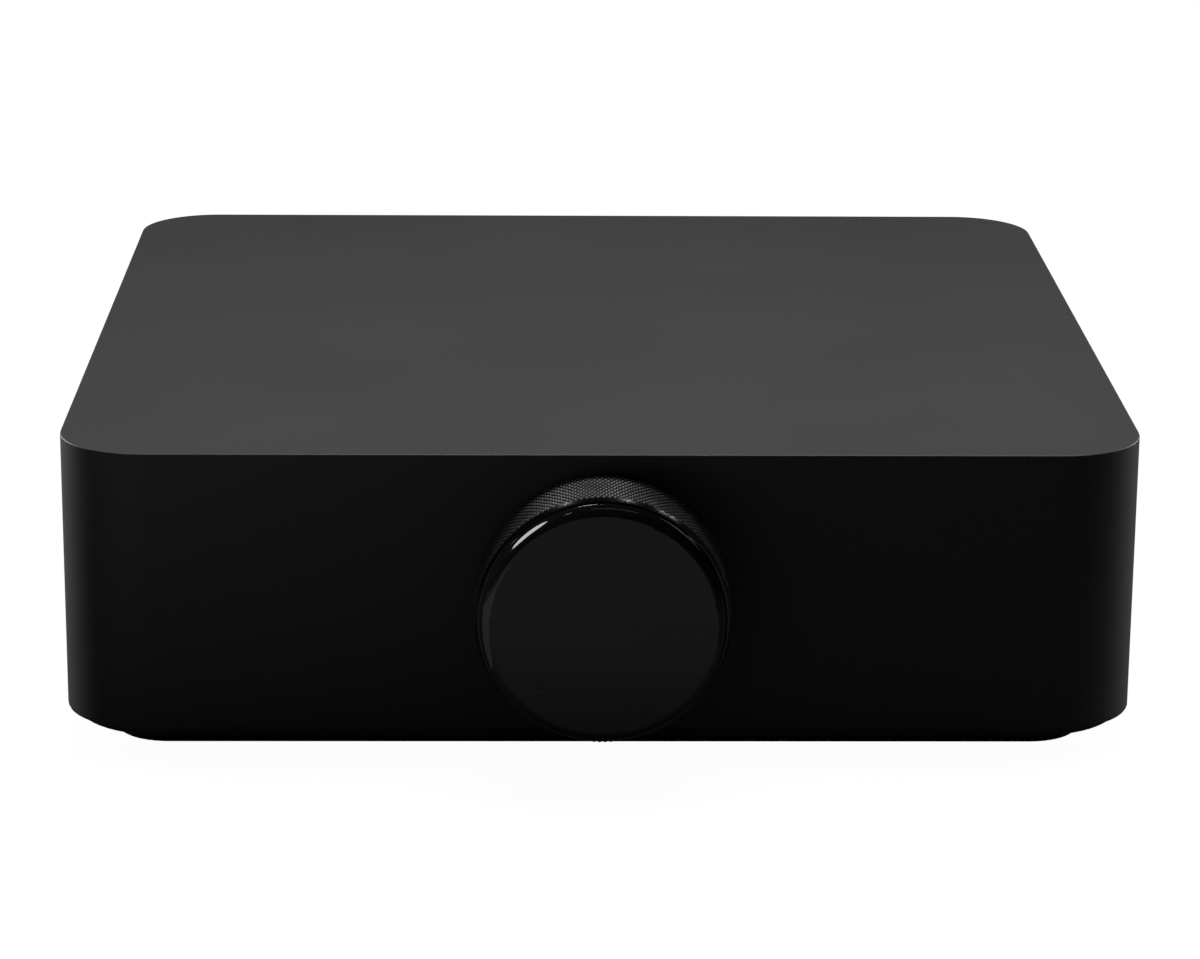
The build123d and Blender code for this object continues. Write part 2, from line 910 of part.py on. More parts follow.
def transformer_coil():
    """Winding round the core's middle leg, on a bobbin that stands on the board."""
    half_x = core_leg / 2 + core_window_width - coil_gap
    half_y = core_depth / 2 + coil_gap + coil_overhang
    half_z = core_window_height / 2 - coil_gap
    winding = fillet(Box(2 * half_x, 2 * half_y, 2 * half_z).edges().filter_by(Axis.Z), coil_overhang / 2)
    winding -= Box(core_leg + 2 * coil_gap, core_depth + 2 * coil_gap, core_height)
    core_z = bobbin_base + core_height / 2
    coil = Pos(0, 0, core_z) * winding
    coil += Pos(0, 0, bobbin_base / 2) * Box(core_width, 2 * half_y, bobbin_base)
    cheek_low = core_depth / 2 + coil_gap
    for side in (-1, 1):
        cheek_y = side * (cheek_low + half_y) / 2
        cheek_top = core_z - half_z / 2
        cheek = Box(core_leg, half_y - cheek_low, cheek_top, align=(Align.CENTER, Align.CENTER, Align.MIN))
        coil += Pos(0, cheek_y, 0) * cheek
    return Pos(transformer_x, transformer_y, board_top) * coil


def bulk_capacitors():
    """Two reservoir capacitors."""
    one = capacitor(bulk_capacitor_radius, bulk_capacitor_height)
    return group([Pos(bulk_capacitor_x, board_rear - inset, 0) * one for inset in bulk_capacitor_insets])


def power_heatsink():
    """Upright finned plate that cools the power transistors."""
    plate = block(
        sink_left, sink_right, sink_rear - sink_plate, sink_rear, board_top, board_top + sink_height
    )
    pitch = (sink_right - sink_left - sink_fin_thickness) / (sink_fin_count - 1)
    for index in range(sink_fin_count):
        left = sink_left + pitch * index
        plate += block(
            left,
            left + sink_fin_thickness,
            sink_rear - sink_plate - sink_fin_length,
            sink_rear - sink_plate / 2,
            board_top,
            board_top + sink_height,
        )
    return plate


def power_transistors():
    """Three power transistors against the plate, each on three leads."""
    middle = (sink_left + sink_right) / 2
    found = []
    for index in range(transistor_count):
        x = middle + transistor_pitch * (index - (transistor_count - 1) / 2)
        low = board_top + transistor_lift
        body = block(
            x - transistor_width / 2,
            x + transistor_width / 2,
            sink_rear,
            sink_rear + transistor_depth,
            low,
            low + transistor_height,
        )
        for step in (-1, 0, 1):
            lead_x = x + step * transistor_lead_pitch
            lead_y = sink_rear + transistor_depth / 2
            body += block(
                lead_x - transistor_lead / 2,
                lead_x + transistor_lead / 2,
                lead_y - transistor_lead / 2,
                lead_y + transistor_lead / 2,
                board_top,
                low + transistor_lead,
            )
        found.append(body)
    return group(found)


# Parts on the main board

def amplifier_chips():
    """Two amplifier chips under the finned cooler."""
    one = Pos(0, 0, board_top + chip_height / 2) * Box(chip_side, chip_side, chip_height)
    return group([Pos(x, (cooler_front + cooler_rear) / 2, 0) * one for x in chip_xs])


def amplifier_heatsink():
    """Finned cooler on the amplifier chips."""
    base_low = board_top + chip_height
    base_top = base_low + cooler_base
    cooler = block(cooler_left, cooler_right, cooler_front, cooler_rear, base_low, base_top)
    pitch = (cooler_right - cooler_left - cooler_fin_thickness) / (cooler_fin_count - 1)
    for index in range(cooler_fin_count):
        left = cooler_left + pitch * index
        cooler += block(
            left,
            left + cooler_fin_thickness,
            cooler_front,
            cooler_rear,
            base_top - cooler_base / 2,
            top - top_wall - cooler_top_gap,
        )
    return cooler


def output_xs():
    """Places of the output filters across the main board."""
    return [output_first_x + output_pitch * index for index in range(output_count)]


def output_inductors():
    """Coils of the output filters."""
    one = slab(
        output_coil_side, output_coil_side, output_coil_radius, board_top, board_top + output_coil_height
    )
    return group([Pos(x, board_rear - coil_row_inset, 0) * one for x in output_xs()])


def output_capacitors():
    """Capacitors of the output filters."""
    one = capacitor(output_capacitor_radius, output_capacitor_height)
    return group([Pos(x, board_rear - capacitor_row_inset, 0) * one for x in output_xs()])


def processor_shield():
    """Thin metal can over the processor."""
    can_top = board_top + shield_height
    can = slab(shield_side, shield_side, shield_corner_radius, board_top, can_top)
    inner_side = shield_side - 2 * shield_wall
    inner_radius = shield_corner_radius - shield_wall
    can -= slab(inner_side, inner_side, inner_radius, board_top - cut_past, can_top - shield_wall)
    return Pos(shield_x, front_row_y, 0) * can


def wireless_module():
    """Small radio board with its own can."""
    plate_high = board_top + module_board
    module = slab(module_width, module_length, module_corner_radius, board_top, plate_high)
    can_y = (module_length - module_can_length) / 2 - module_margin
    module += slab(
        module_width - 2 * module_margin,
        module_can_length,
        module_corner_radius,
        plate_high - module_board / 2,
        plate_high + module_can_height,
        (0, can_y),
    )
    return Pos(module_x, front_row_y, 0) * module


def power_harness():
    """Short arched cable between a header on each board."""
    header_top = board_top + header_height
    half = Plane.XZ * Pos(0, header_top, 0)
    outer = harness_radius + harness_thickness / 2
    inner = harness_radius - harness_thickness / 2
    arch = half * (Circle(outer) - Circle(inner))
    arch = extrude(arch, harness_width / 2, both=True)
    past = outer + cut_past
    arch -= block(-past, past, -harness_width, harness_width, header_top - past, header_top)
    for side in (-1, 1):
        arch += block(
            side * harness_radius - header_width / 2,
            side * harness_radius + header_width / 2,
            -header_length / 2,
            header_length / 2,
            board_top,
            header_top,
        )
    return Pos(harness_x, harness_y, 0) * arch


# Sockets on the rear

def figure_eight():
    """Outline of the mains inlet's recess."""
    half = inlet_pin_pitch / 2
    return (
        Pos(-half, 0) * Circle(inlet_recess_radius)
        + Pos(half, 0) * Circle(inlet_recess_radius)
        + Rectangle(inlet_pin_pitch, inlet_waist)
    )


def mains_inlet():
    """Two-pole mains inlet with a flange on the panel and a figure-eight recess."""
    body = slab(inlet_width, inlet_height, inlet_corner_radius, -inlet_depth, 0)
    body += slab(inlet_flange_width, inlet_flange_height, inlet_corner_radius, 0, inlet_flange_thickness)
    recess = extrude(figure_eight(), inlet_depth + inlet_flange_thickness)
    body -= Pos(0, 0, inlet_floor - inlet_depth) * recess
    for side in (-1, 1):
        pin_hole = rod(inlet_pin_radius + close_gap, -inlet_depth - cut_past, 0)
        body -= Pos(side * inlet_pin_pitch / 2, 0, 0) * pin_hole
    return rear(inlet_x, inlet_z) * body


def inlet_pins():
    """Two round pins, each with a leg down to the power board."""
    found = []
    pin_front = inlet_floor - inlet_depth + inlet_pin_length
    for side in (-1, 1):
        pin = rod(inlet_pin_radius, -inlet_depth - inlet_tail, pin_front)
        pin = fillet(pin.edges().sort_by(Axis.Z)[-1], inlet_pin_radius / 2)
        leg = block(
            -inlet_pin_radius / 2,
            inlet_pin_radius / 2,
            board_top - inlet_z,
            0,
            -inlet_depth - inlet_tail,
            -inlet_depth - inlet_tail + inlet_pin_radius,
        )
        found.append(rear(inlet_x + side * inlet_pin_pitch / 2, inlet_z) * (pin + leg))
    return group(found)


def network_socket():
    """Network socket with a latch notch under its mouth."""
    body = block(
        -network_width / 2, network_width / 2, -network_height / 2, network_height / 2, -network_depth, 0
    )
    mouth_high = network_height / 2 - network_roof
    mouth_low = mouth_high - network_mouth_height
    body -= block(
        -network_mouth_width / 2,
        network_mouth_width / 2,
        mouth_low,
        mouth_high,
        -network_mouth_depth,
        cut_past,
    )
    body -= block(
        -network_latch_width / 2,
        network_latch_width / 2,
        mouth_low - network_latch_height,
        mouth_low + cut_past,
        -network_mouth_depth,
        cut_past,
    )
    return rear(network_x, network_z) * body


def hdmi_socket():
    """Digital television socket: a metal shell with a tongue inside."""
    body = block(-hdmi_width / 2, hdmi_width / 2, -hdmi_height / 2, hdmi_height / 2, -hdmi_depth, 0)
    inner_width = hdmi_width - 2 * hdmi_wall
    half_height = hdmi_height / 2 - hdmi_wall
    floor = hdmi_floor - hdmi_depth
    body -= block(-inner_width / 2, inner_width / 2, -half_height, half_height, floor, cut_past)
    body += block(
        -hdmi_tongue_width / 2,
        hdmi_tongue_width / 2,
        -hdmi_tongue_height / 2,
        hdmi_tongue_height / 2,
        floor - hdmi_floor / 2,
        -hdmi_tongue_setback,
    )
    return rear(hdmi_x, hdmi_z) * body


def shutter_axis_height():
    """Height of the shutter's hinge above the optical socket's middle."""
    return optical_mouth_height / 2 - shutter_barrel_drop


def shutter_axis_depth():
    """Depth of the shutter's hinge behind the socket's face."""
    return shutter_setback + shutter_thickness / 2


def optical_socket():
    """Optical socket with a square mouth and bearings for its shutter."""
    body = block(
        -optical_width / 2, optical_width / 2, -optical_height / 2, optical_height / 2, -optical_depth, 0
    )
    half_width = optical_mouth_width / 2
    half_height = optical_mouth_height / 2
    body -= block(-half_width, half_width, -half_height, half_height, -optical_mouth_depth, cut_past)
    reach = half_width + shutter_pin_reach + running_gap
    pin_hole = Rot(0, 90, 0) * rod(shutter_pin_radius + running_gap, -reach, reach)
    body -= Pos(0, shutter_axis_height(), -shutter_axis_depth()) * pin_hole
    return rear(optical_x, optical_z) * body


def optical_shutter():
    """Hinged shutter just inside the optical socket's mouth."""
    half_width = optical_mouth_width / 2 - shutter_side_gap
    flap_low = -optical_mouth_height / 2 + shutter_side_gap - shutter_axis_height()
    flap = block(
        -half_width, half_width, flap_low, 0, -shutter_thickness / 2, shutter_thickness / 2
    )
    flap += Rot(0, 90, 0) * rod(shutter_barrel_radius, -half_width, half_width)
    pin_reach = optical_mouth_width / 2 + shutter_pin_reach
    flap += Rot(0, 90, 0) * rod(shutter_pin_radius, -pin_reach, pin_reach)
    return rear(optical_x, optical_z) * Pos(0, shutter_axis_height(), -shutter_axis_depth()) * flap


def phono_barrels():
    """Metal barrels of the phono sockets, with a flange on the panel."""
    one = tube(phono_barrel_radius, phono_barrel_bore, -panel_thickness, phono_barrel_length)
    one += tube(phono_flange_radius, phono_barrel_bore, 0, phono_flange_thickness)
    return group([rear(x, phono_z) * one for x in phono_xs])


def phono_insulators():
    """Coloured cores of the phono sockets, each with a block behind the panel and a contact bore."""
    core_front = phono_barrel_length - phono_core_setback
    one = block(
        -phono_block_width / 2,
        phono_block_width / 2,
        -phono_block_height / 2,
        phono_block_height / 2,
        -panel_thickness - phono_block_depth,
        -panel_thickness,
    )
    one += rod(phono_barrel_bore - running_gap, -2 * panel_thickness, core_front)
    one -= rod(phono_contact_radius, core_front - phono_contact_depth, core_front + cut_past)
    return group([rear(x, phono_z) * one for x in phono_xs])


# Pairing button

def pair_button():
    """Round button that stands a little out of the rear panel, with a flange behind it."""
    flange_front = -panel_thickness - body_gap
    flange_rear = flange_front - button_flange_thickness
    button = rod(button_radius, flange_rear, button_stand)
    button = fillet(button.edges().sort_by(Axis.Z)[-1], button_edge_radius)
    button += rod(button_flange_radius, flange_rear, flange_front)
    return rear(button_x, button_z) * button


def pair_switch():
    """Small push switch on the main board behind the button."""
    nub_front = -panel_thickness - body_gap - button_flange_thickness - button_travel - switch_gap
    body_front = nub_front - switch_nub_length
    half = switch_side / 2
    body = block(-half, half, -half, half, body_front - switch_depth, body_front)
    body += rod(switch_nub_radius, body_front - switch_nub_length, nub_front)
    return rear(button_x, button_z) * body


# Loudspeaker binding posts

def post_collars(places):
    """Insulating collars between the posts and the panel."""
    one = rod(collar_radius, 0, collar_thickness)
    one = fillet(one.edges().sort_by(Axis.Z)[-1], collar_edge_radius)
    one += rod(collar_spigot_radius, -panel_thickness, 0)
    one -= rod(stud_radius + close_gap, -panel_thickness - cut_past, collar_thickness + cut_past)
    return group([rear(x, post_z) * one for x in places])


def post_studs():
    """Plated studs, each with a clamping shoulder, a wire hole and a bore for a 4 mm plug."""
    shoulder_front = collar_thickness + stud_shoulder_thickness
    one = rod(stud_radius, -stud_tail, stud_tip)
    one = chamfer(one.edges().sort_by(Axis.Z)[-1], stud_chamfer)
    one += rod(stud_shoulder_radius, collar_thickness, shoulder_front)
    one -= rod(stud_bore_radius, stud_tip - stud_bore_depth, stud_tip + cut_past)
    wire_z = shoulder_front + stud_wire_hole_lift + stud_wire_hole_radius
    wire_hole = Rot(90, 0, 0) * rod(stud_wire_hole_radius, -stud_radius - cut_past, stud_radius + cut_past)
    one -= Pos(0, 0, wire_z) * wire_hole
    return group([rear(x, post_z) * one for x in post_xs])


def post_nuts():
    """Nuts that hold the studs and their collars on the panel."""
    sides = RegularPolygon(nut_flats / 2, 6, major_radius=False)
    one = Pos(0, 0, -panel_thickness - nut_thickness) * extrude(sides, nut_thickness)
    one -= rod(stud_radius + close_gap, -panel_thickness - nut_thickness - cut_past, 0)
    return group([rear(x, post_z) * one for x in post_xs])


def clamp_washer(x):
    """Washer that the cap pushes against the wire."""
    ring = tube(washer_radius, stud_radius + running_gap, washer_rear, washer_rear + washer_thickness)
    return rear(x, post_z) * ring


def post_cap(x):
    """Fluted cap that screws along the stud."""
    cap = rod(cap_radius, cap_rear, cap_rear + cap_length)
    cap = fillet(cap.edges().filter_by(GeomType.CIRCLE).sort_by(Axis.Z)[-1], cap_edge_radius)
    flute_centre = cap_radius + cap_flute_radius - cap_flute_depth
    flute = rod(cap_flute_radius, cap_rear + cap_skirt, cap_rear + cap_length + cut_past)
    for place in around(flute_centre, cap_flute_count):
        cap -= place * flute
    cap -= rod(stud_radius + running_gap, cap_rear - cut_past, cap_rear + cap_length + cut_past)
    return rear(x, post_z) * cap


def all_parts():
    """Every node's name with its shape."""
    parts = {
        "housing": housing(),
        "base_cover": base_cover(),
        "foot_ring": foot_ring(),
        "base_screws": base_screws(),
        "rear_panel": rear_panel(),
        "rear_panel_screws": rear_panel_screws(),
        "knob_ring": knob_ring(),
        "magnet_ring": magnet_ring(),
        "bearing_inner_race": bearing_inner_race(),
        "bearing_outer_race": bearing_outer_race(),
        "bearing_balls": bearing_balls(),
        "bearing_cage": bearing_cage(),
        "bearing_circlip": bearing_circlip(),
        "knob_hub": knob_hub(),
        "knob_board": knob_board(),
        "knob_screws": knob_screws(),
        "display_carrier": display_carrier(),
        "display_panel": display_panel(),
        "display_cable": display_cable(),
        "glass_lens": glass_lens(),
        "power_board": board(power_board_left, power_board_right, power_standoff_places()),
        "main_board": board(main_board_left, main_board_right, main_standoff_places()),
        "board_standoffs": board_standoffs(),
        "board_screws": board_screws(),
        "line_choke": line_choke(),
        "fuse": fuse(),
        "transformer_core": transformer_core(),
        "transformer_coil": transformer_coil(),
        "bulk_capacitors": bulk_capacitors(),
        "power_heatsink": power_heatsink(),
        "power_transistors": power_transistors(),
        "amplifier_chips": amplifier_chips(),
        "amplifier_heatsink": amplifier_heatsink(),
        "output_inductors": output_inductors(),
        "output_capacitors": output_capacitors(),
        "processor_shield": processor_shield(),
        "wireless_module": wireless_module(),
        "power_harness": power_harness(),
        "mains_inlet": mains_inlet(),
        "inlet_pins": inlet_pins(),
        "network_socket": network_socket(),
        "hdmi_socket": hdmi_socket(),
        "optical_socket": optical_socket(),
        "optical_shutter": optical_shutter(),
        "phono_barrels": phono_barrels(),
        "phono_insulators": phono_insulators(),
        "pair_button": pair_button(),
        "pair_switch": pair_switch(),
        "red_post_collars": post_collars(post_xs[0::2]),
        "black_post_collars": post_collars(post_xs[1::2]),
        "post_studs": post_studs(),
        "post_nuts": post_nuts(),
    }
    for name, x in zip(post_names, post_xs):
        parts["clamp_washer_" + name] = clamp_washer(x)
        parts["post_cap_" + name] = post_cap(x)
    return parts


os.makedirs("parts", exist_ok=True)
for node, shape in all_parts().items():
    export_step(shape, os.path.join("parts", node + ".step"))
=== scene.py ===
import bmesh
import bpy
import json
import math
from mathutils import Matrix, Vector


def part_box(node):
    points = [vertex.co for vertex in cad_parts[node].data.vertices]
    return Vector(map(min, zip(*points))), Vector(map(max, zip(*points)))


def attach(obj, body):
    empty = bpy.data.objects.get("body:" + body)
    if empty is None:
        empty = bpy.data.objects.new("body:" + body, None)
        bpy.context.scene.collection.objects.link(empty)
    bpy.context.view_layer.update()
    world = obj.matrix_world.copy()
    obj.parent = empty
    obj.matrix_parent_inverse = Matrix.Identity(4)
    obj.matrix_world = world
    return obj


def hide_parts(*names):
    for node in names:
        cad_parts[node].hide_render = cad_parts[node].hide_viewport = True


# Looks of the compact stereo amplifier. Metres throughout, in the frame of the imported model:
# +X to the right of someone facing the front, +Y to the back, +Z up, the table at zero.

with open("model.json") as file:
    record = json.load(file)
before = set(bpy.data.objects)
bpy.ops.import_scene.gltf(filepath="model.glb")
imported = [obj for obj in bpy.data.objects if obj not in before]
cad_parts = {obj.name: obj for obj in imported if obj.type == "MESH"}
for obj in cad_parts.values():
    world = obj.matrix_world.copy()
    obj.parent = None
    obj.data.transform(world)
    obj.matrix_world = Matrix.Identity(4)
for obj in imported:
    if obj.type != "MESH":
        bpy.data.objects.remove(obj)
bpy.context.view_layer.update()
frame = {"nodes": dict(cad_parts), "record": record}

# Camera
camera_place = Vector((-0.01651, -0.85266, 0.27619))
camera_pitch = math.radians(16.317)
camera_yaw = math.radians(1.228)
camera_roll = math.radians(0.447)
camera_lens = 119.23
camera_sensor = 36.0

# Floor and background
floor_size = 12.0
floor_level = -0.00005
floor_colour = (0.08, 0.08, 0.08)
floor_glow = 0.975
floor_glossy_glow = 0.012
backdrop_glow = 1.0
backdrop_glossy_glow = 0.012
room_glow = 0.003

# Lamps: each is a flat panel, given by its middle, the point it faces, its size and its brightness
ceiling_place = Vector((0.03, -0.03, 0.42))
ceiling_size = (0.45, 0.14)
ceiling_glow = 6.8
left_place = Vector((-1.0, 0.775, 0.33))
left_target = Vector((0.0, 0.775, 0.33))
left_size = (0.65, 0.60)
left_glow = 11.5
right_place = Vector((1.0, 0.775, 0.33))
right_target = Vector((0.0, 0.775, 0.33))
right_size = (0.65, 0.60)
right_glow = 6.6
side_place = Vector((1.0, 0.25, 0.33))
side_target = Vector((0.0, 0.25, 0.33))
side_size = (0.40, 0.60)
side_glow = 1.9
pale_floor_lift = 0.001
far_floor_middle = -0.82
far_floor_start = -0.30
far_floor_size = (1.5, 2.0)
far_floor_glow = 0.50

# Lamps for the glass, the ring or both: pale stretches of floor in front, a softbox at the left, a thin
# strip above with bright spots along it, a dim panel at the right rear and a panel above the ring. The
# front stretches lie at different heights, because a mirror shows only some of the lamps in one plane.
front_floor_starts = (-0.149, -0.158, -0.167, -0.176, -0.186, -0.199, -0.220)
front_floor_lift = 0.0007
front_floor_middle = -1.94
front_floor_size = (4.0, 3.0)
front_floor_glow = 0.0179
softbox_place = Vector((-0.755, -0.145, 0.706))
softbox_target = Vector((0.0, -0.125, 0.05))
softbox_size = (0.74, 0.46)
softbox_turn = math.radians(-12)
softbox_glow = 8.5
strip_place = Vector((0.12, -0.18, 0.90))
strip_size = (0.45, 0.03)
strip_glow = 2.0
spot_xs = (-0.34, 0.23, 0.64, 0.80)
glass_spots = 2
glass_spot_y = -0.18
glass_spot_size = (0.07, 0.03)
glass_spot_glow = 10.0
ring_spot_y = -0.165
ring_spot_size = (0.07, 0.07)
ring_spot_glows = (28.0, 26.0, 14.0, 14.0)
dim_place = Vector((0.85, 0.60, 0.36))
dim_target = Vector((0.0, -0.125, 0.05))
dim_size = (0.55, 0.90)
dim_glow = 0.45
left_floor_lift = 0.006
left_floor_place = Vector((-0.17, -0.24, left_floor_lift))
left_floor_sizes = ((0.25, 0.23), (0.21, 0.19))
left_floor_glow = 0.20
ring_lamp_place = Vector((-0.08, 0.225, 0.60))
ring_lamp_size = (0.14, 0.25)
ring_lamp_glow = 17.0

# Small sensor window in the glass
sensor_place = Vector((-0.0120, -0.12645, 0.0215))
sensor_size = (0.0006, 0.00025)
sensor_edge = (0.8, 1.1)
sensor_roughness = 0.9

# Control ring, with lengths measured forward from the front wall
front_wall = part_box("housing")[0].y
ring_low, ring_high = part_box("knob_ring")
ring_radius = (ring_high.x - ring_low.x) / 2
ring_middle = Vector((0.0, front_wall, (ring_low.z + ring_high.z) / 2))
ring_rear = front_wall - ring_high.y
ring_front = front_wall - ring_low.y
ring_chamfer_length = 0.00075
ring_chamfer_depth = 0.0007
ring_wall = 0.0011
ring_lip_round = 0.0001
ring_edge = ring_front - ring_chamfer_length
ring_lip_radius = ring_radius - ring_chamfer_depth
ring_bore = ring_radius - ring_wall
ring_web_front = 0.0117
ring_web_bore = 0.0170
race_front = 0.0080
race_bore = 0.01862
magnet_inner = 0.02018
magnet_outer = 0.02322
magnet_front = 0.0033
knurl_count = 140
knurl_half_rows = 14
knurl_depth = 0.00025
# Painted shade in the knurl's grooves: its colour, and the shares of the knurl's depth, from the groove's
# bottom, between which it fades into the metal's own tint
painted_groove_shade = (0.004, 0.004, 0.004)
groove_shade_reach = (0.15, 0.75)
facet_wear = 0.5
sharp_angle = math.radians(30)

# Edges lighter from wear and from a painted highlight: how much lighter they are, and the cosines of the
# bevel's turn between which the lightening fades out
wear_and_highlight_share = 3.0
edge_turns = (0.75, 0.995)

# Tracks of the circuit boards and turns of the windings
track_length = 0.0042
track_pitch = 0.0016
track_gap = 0.0002
track_relief = 0.00003
winding_scale = 700.0
winding_relief = 0.0002

# Printed marks above the speaker terminals: signs over each terminal, and the side between each pair
mark_level = 0.0507
mark_height = 0.0024
mark_line = 0.00035
mark_thickness = 0.00002
mark_strokes = {
    "plus": (((-0.5, 0.0), (0.5, 0.0)), ((0.0, -0.5), (0.0, 0.5))),
    "minus": (((-0.5, 0.0), (0.5, 0.0)),),
    "left": (((-0.3, 0.5), (-0.3, -0.5)), ((-0.3, -0.5), (0.35, -0.5))),
    "right": (
        ((-0.35, -0.5), (-0.35, 0.5)),
        ((-0.35, 0.5), (0.3, 0.5)),
        ((0.3, 0.5), (0.3, 0.0)),
        ((0.3, 0.0), (-0.35, 0.0)),
        ((-0.05, 0.0), (0.35, -0.5)),
    ),
}


# Nodes. A Mix node holds the sockets of every kind: first value, second value and result.

mix_sockets = {"FLOAT": (2, 3, 0), "VECTOR": (4, 5, 1), "RGBA": (6, 7, 2)}


def material(name):
    """New material with its node tree and its shader."""
    made = bpy.data.materials.new(name)
    made.use_nodes = True
    return made, made.node_tree, made.node_tree.nodes["Principled BSDF"]


def add(tree, kind, **settings):
    """New node with its properties set."""
    node = tree.nodes.new(kind)
    for key, value in settings.items():
        setattr(node, key, value)
    return node


def noise(tree, size, detail=2.0, stretch=(1.0, 1.0, 1.0)):
    """Noise over the object's own coordinates, with spots about as large as the size."""
    place = add(tree, "ShaderNodeTexCoord")
    mapping = add(tree, "ShaderNodeMapping")
    mapping.inputs["Scale"].default_value = stretch
    texture = add(tree, "ShaderNodeTexNoise")
    texture.inputs["Scale"].default_value = 1.0 / size
    texture.inputs["Detail"].default_value = detail
    tree.links.new(place.outputs["Object"], mapping.inputs["Vector"])
    tree.links.new(mapping.outputs["Vector"], texture.inputs["Vector"])
    return texture.outputs["Fac"]


def between(tree, factor, low, high, start=0.3, end=0.7):
    """Number that goes from low to high as the factor goes from start to end."""
    ranged = add(tree, "ShaderNodeMapRange")
    tree.links.new(factor, ranged.inputs["Value"])
    ranged.inputs["From Min"].default_value = start
    ranged.inputs["From Max"].default_value = end
    ranged.inputs["To Min"].default_value = low
    ranged.inputs["To Max"].default_value = high
    return ranged.outputs["Result"]


def plug(tree, socket, value):
    """Sets a node's input to a value, or links another node's output to it."""
    if isinstance(value, bpy.types.NodeSocket):
        tree.links.new(value, socket)
    else:
        socket.default_value = value


def mixed(tree, kind, factor, first, second):
    """Two values of that kind mixed by the factor."""
    low, high, result = mix_sockets[kind]
    mix = add(tree, "ShaderNodeMix", data_type=kind)
    plug(tree, mix.inputs["Factor"], factor)
    plug(tree, mix.inputs[low], first)
    plug(tree, mix.inputs[high], second)
    return mix.outputs[result]


def blend(tree, factor, first, second):
    """Colour mixed by the factor. A colour is a triple or another node's output."""
    colours = [(*colour, 1.0) if isinstance(colour, tuple) else colour for colour in (first, second)]
    return mixed(tree, "RGBA", factor, *colours)


def bump(tree, shader, height, depth):
    """Relief of that depth on the shader."""
    relief = add(tree, "ShaderNodeBump")
    relief.inputs["Strength"].default_value = 1.0
    relief.inputs["Distance"].default_value = depth
    tree.links.new(height, relief.inputs["Height"])
    tree.links.new(relief.outputs["Normal"], shader.inputs["Normal"])


def scaled(colour, share):
    """Colour made lighter or darker."""
    return tuple(min(1.0, channel * share) for channel in colour)


def edges(tree, radius):
    """Mask that is 1 on sharp edges and 0 on flat faces."""
    rounded = add(tree, "ShaderNodeBevel", samples=4)
    rounded.inputs["Radius"].default_value = radius
    plain = add(tree, "ShaderNodeNewGeometry")
    dot = add(tree, "ShaderNodeVectorMath", operation="DOT_PRODUCT")
    tree.links.new(rounded.outputs["Normal"], dot.inputs[0])
    tree.links.new(plain.outputs["Normal"], dot.inputs[1])
    return between(tree, dot.outputs["Value"], 1.0, 0.0, *edge_turns)


def surface(
    name,
    colour,
    roughness,
    metallic=0.0,
    specular=0.5,
    grain=0.0004,
    depth=0.000006,
    patch=0.03,
    spread=0.10,
    speckle=0.08,
    roughness_spread=0.05,
    wear_and_highlight=0.0,
    wear_and_highlight_radius=0.0004,
    stretch=(1.0, 1.0, 1.0),
):
    """Finish with broad patches, a fine grain that also lifts the surface, and edges lighter from wear and
    from a painted highlight.
    """
    made, tree, shader = material(name)
    broad = noise(tree, patch, 3.0)
    fine = noise(tree, grain, 2.0, stretch)
    tint = blend(tree, broad, scaled(colour, 1.0 - spread), scaled(colour, 1.0 + spread))
    speck = between(tree, fine, 1.0 - speckle, 1.0 + speckle)
    spotted = add(tree, "ShaderNodeVectorMath", operation="SCALE")
    tree.links.new(tint, spotted.inputs[0])
    tree.links.new(speck, spotted.inputs["Scale"])
    tint = spotted.outputs["Vector"]
    # Lighter edges: partly wear, partly a painted highlight along the edges
    if wear_and_highlight:
        worn = add(tree, "ShaderNodeMath", operation="MULTIPLY")
        tree.links.new(edges(tree, wear_and_highlight_radius), worn.inputs[0])
        worn.inputs[1].default_value = wear_and_highlight
        tint = blend(tree, worn.outputs["Value"], tint, scaled(colour, wear_and_highlight_share))
    tree.links.new(tint, shader.inputs["Base Color"])
    rough = between(tree, broad, roughness - roughness_spread, roughness + roughness_spread)
    tree.links.new(rough, shader.inputs["Roughness"])
    shader.inputs["Metallic"].default_value = metallic
    shader.inputs["Specular IOR Level"].default_value = specular
    bump(tree, shader, fine, depth)
    return made


# Finishes, one for each material slot of the record

def sensor_window(tree):
    """Mask that is 1 in the small oval window of the glass."""
    glass = frame["nodes"]["glass_lens"]
    place = add(tree, "ShaderNodeTexCoord")
    mapping = add(tree, "ShaderNodeMapping", vector_type="TEXTURE")
    mapping.inputs["Location"].default_value = glass.matrix_world.inverted() @ sensor_place
    mapping.inputs["Scale"].default_value = (sensor_size[0], 1.0, sensor_size[1])
    tree.links.new(place.outputs["Object"], mapping.inputs["Vector"])
    reach = add(tree, "ShaderNodeVectorMath", operation="LENGTH")
    tree.links.new(mapping.outputs["Vector"], reach.inputs[0])
    return between(tree, reach.outputs["Value"], 1.0, 0.0, *sensor_edge)


def black_glass():
    """Polished dark glass with a faint film of dust."""
    made, tree, shader = material("black_glass")
    film = noise(tree, 0.012, 3.0)
    tint = blend(tree, film, (0.003, 0.003, 0.0032), (0.005, 0.005, 0.0054))
    tree.links.new(tint, shader.inputs["Base Color"])
    clear = between(tree, film, 0.04, 0.07)
    rough = mixed(tree, "FLOAT", sensor_window(tree), clear, sensor_roughness)
    tree.links.new(rough, shader.inputs["Roughness"])
    shader.inputs["Specular IOR Level"].default_value = 0.5
    bump(tree, shader, noise(tree, 0.004, 1.0), 0.0000004)
    return made


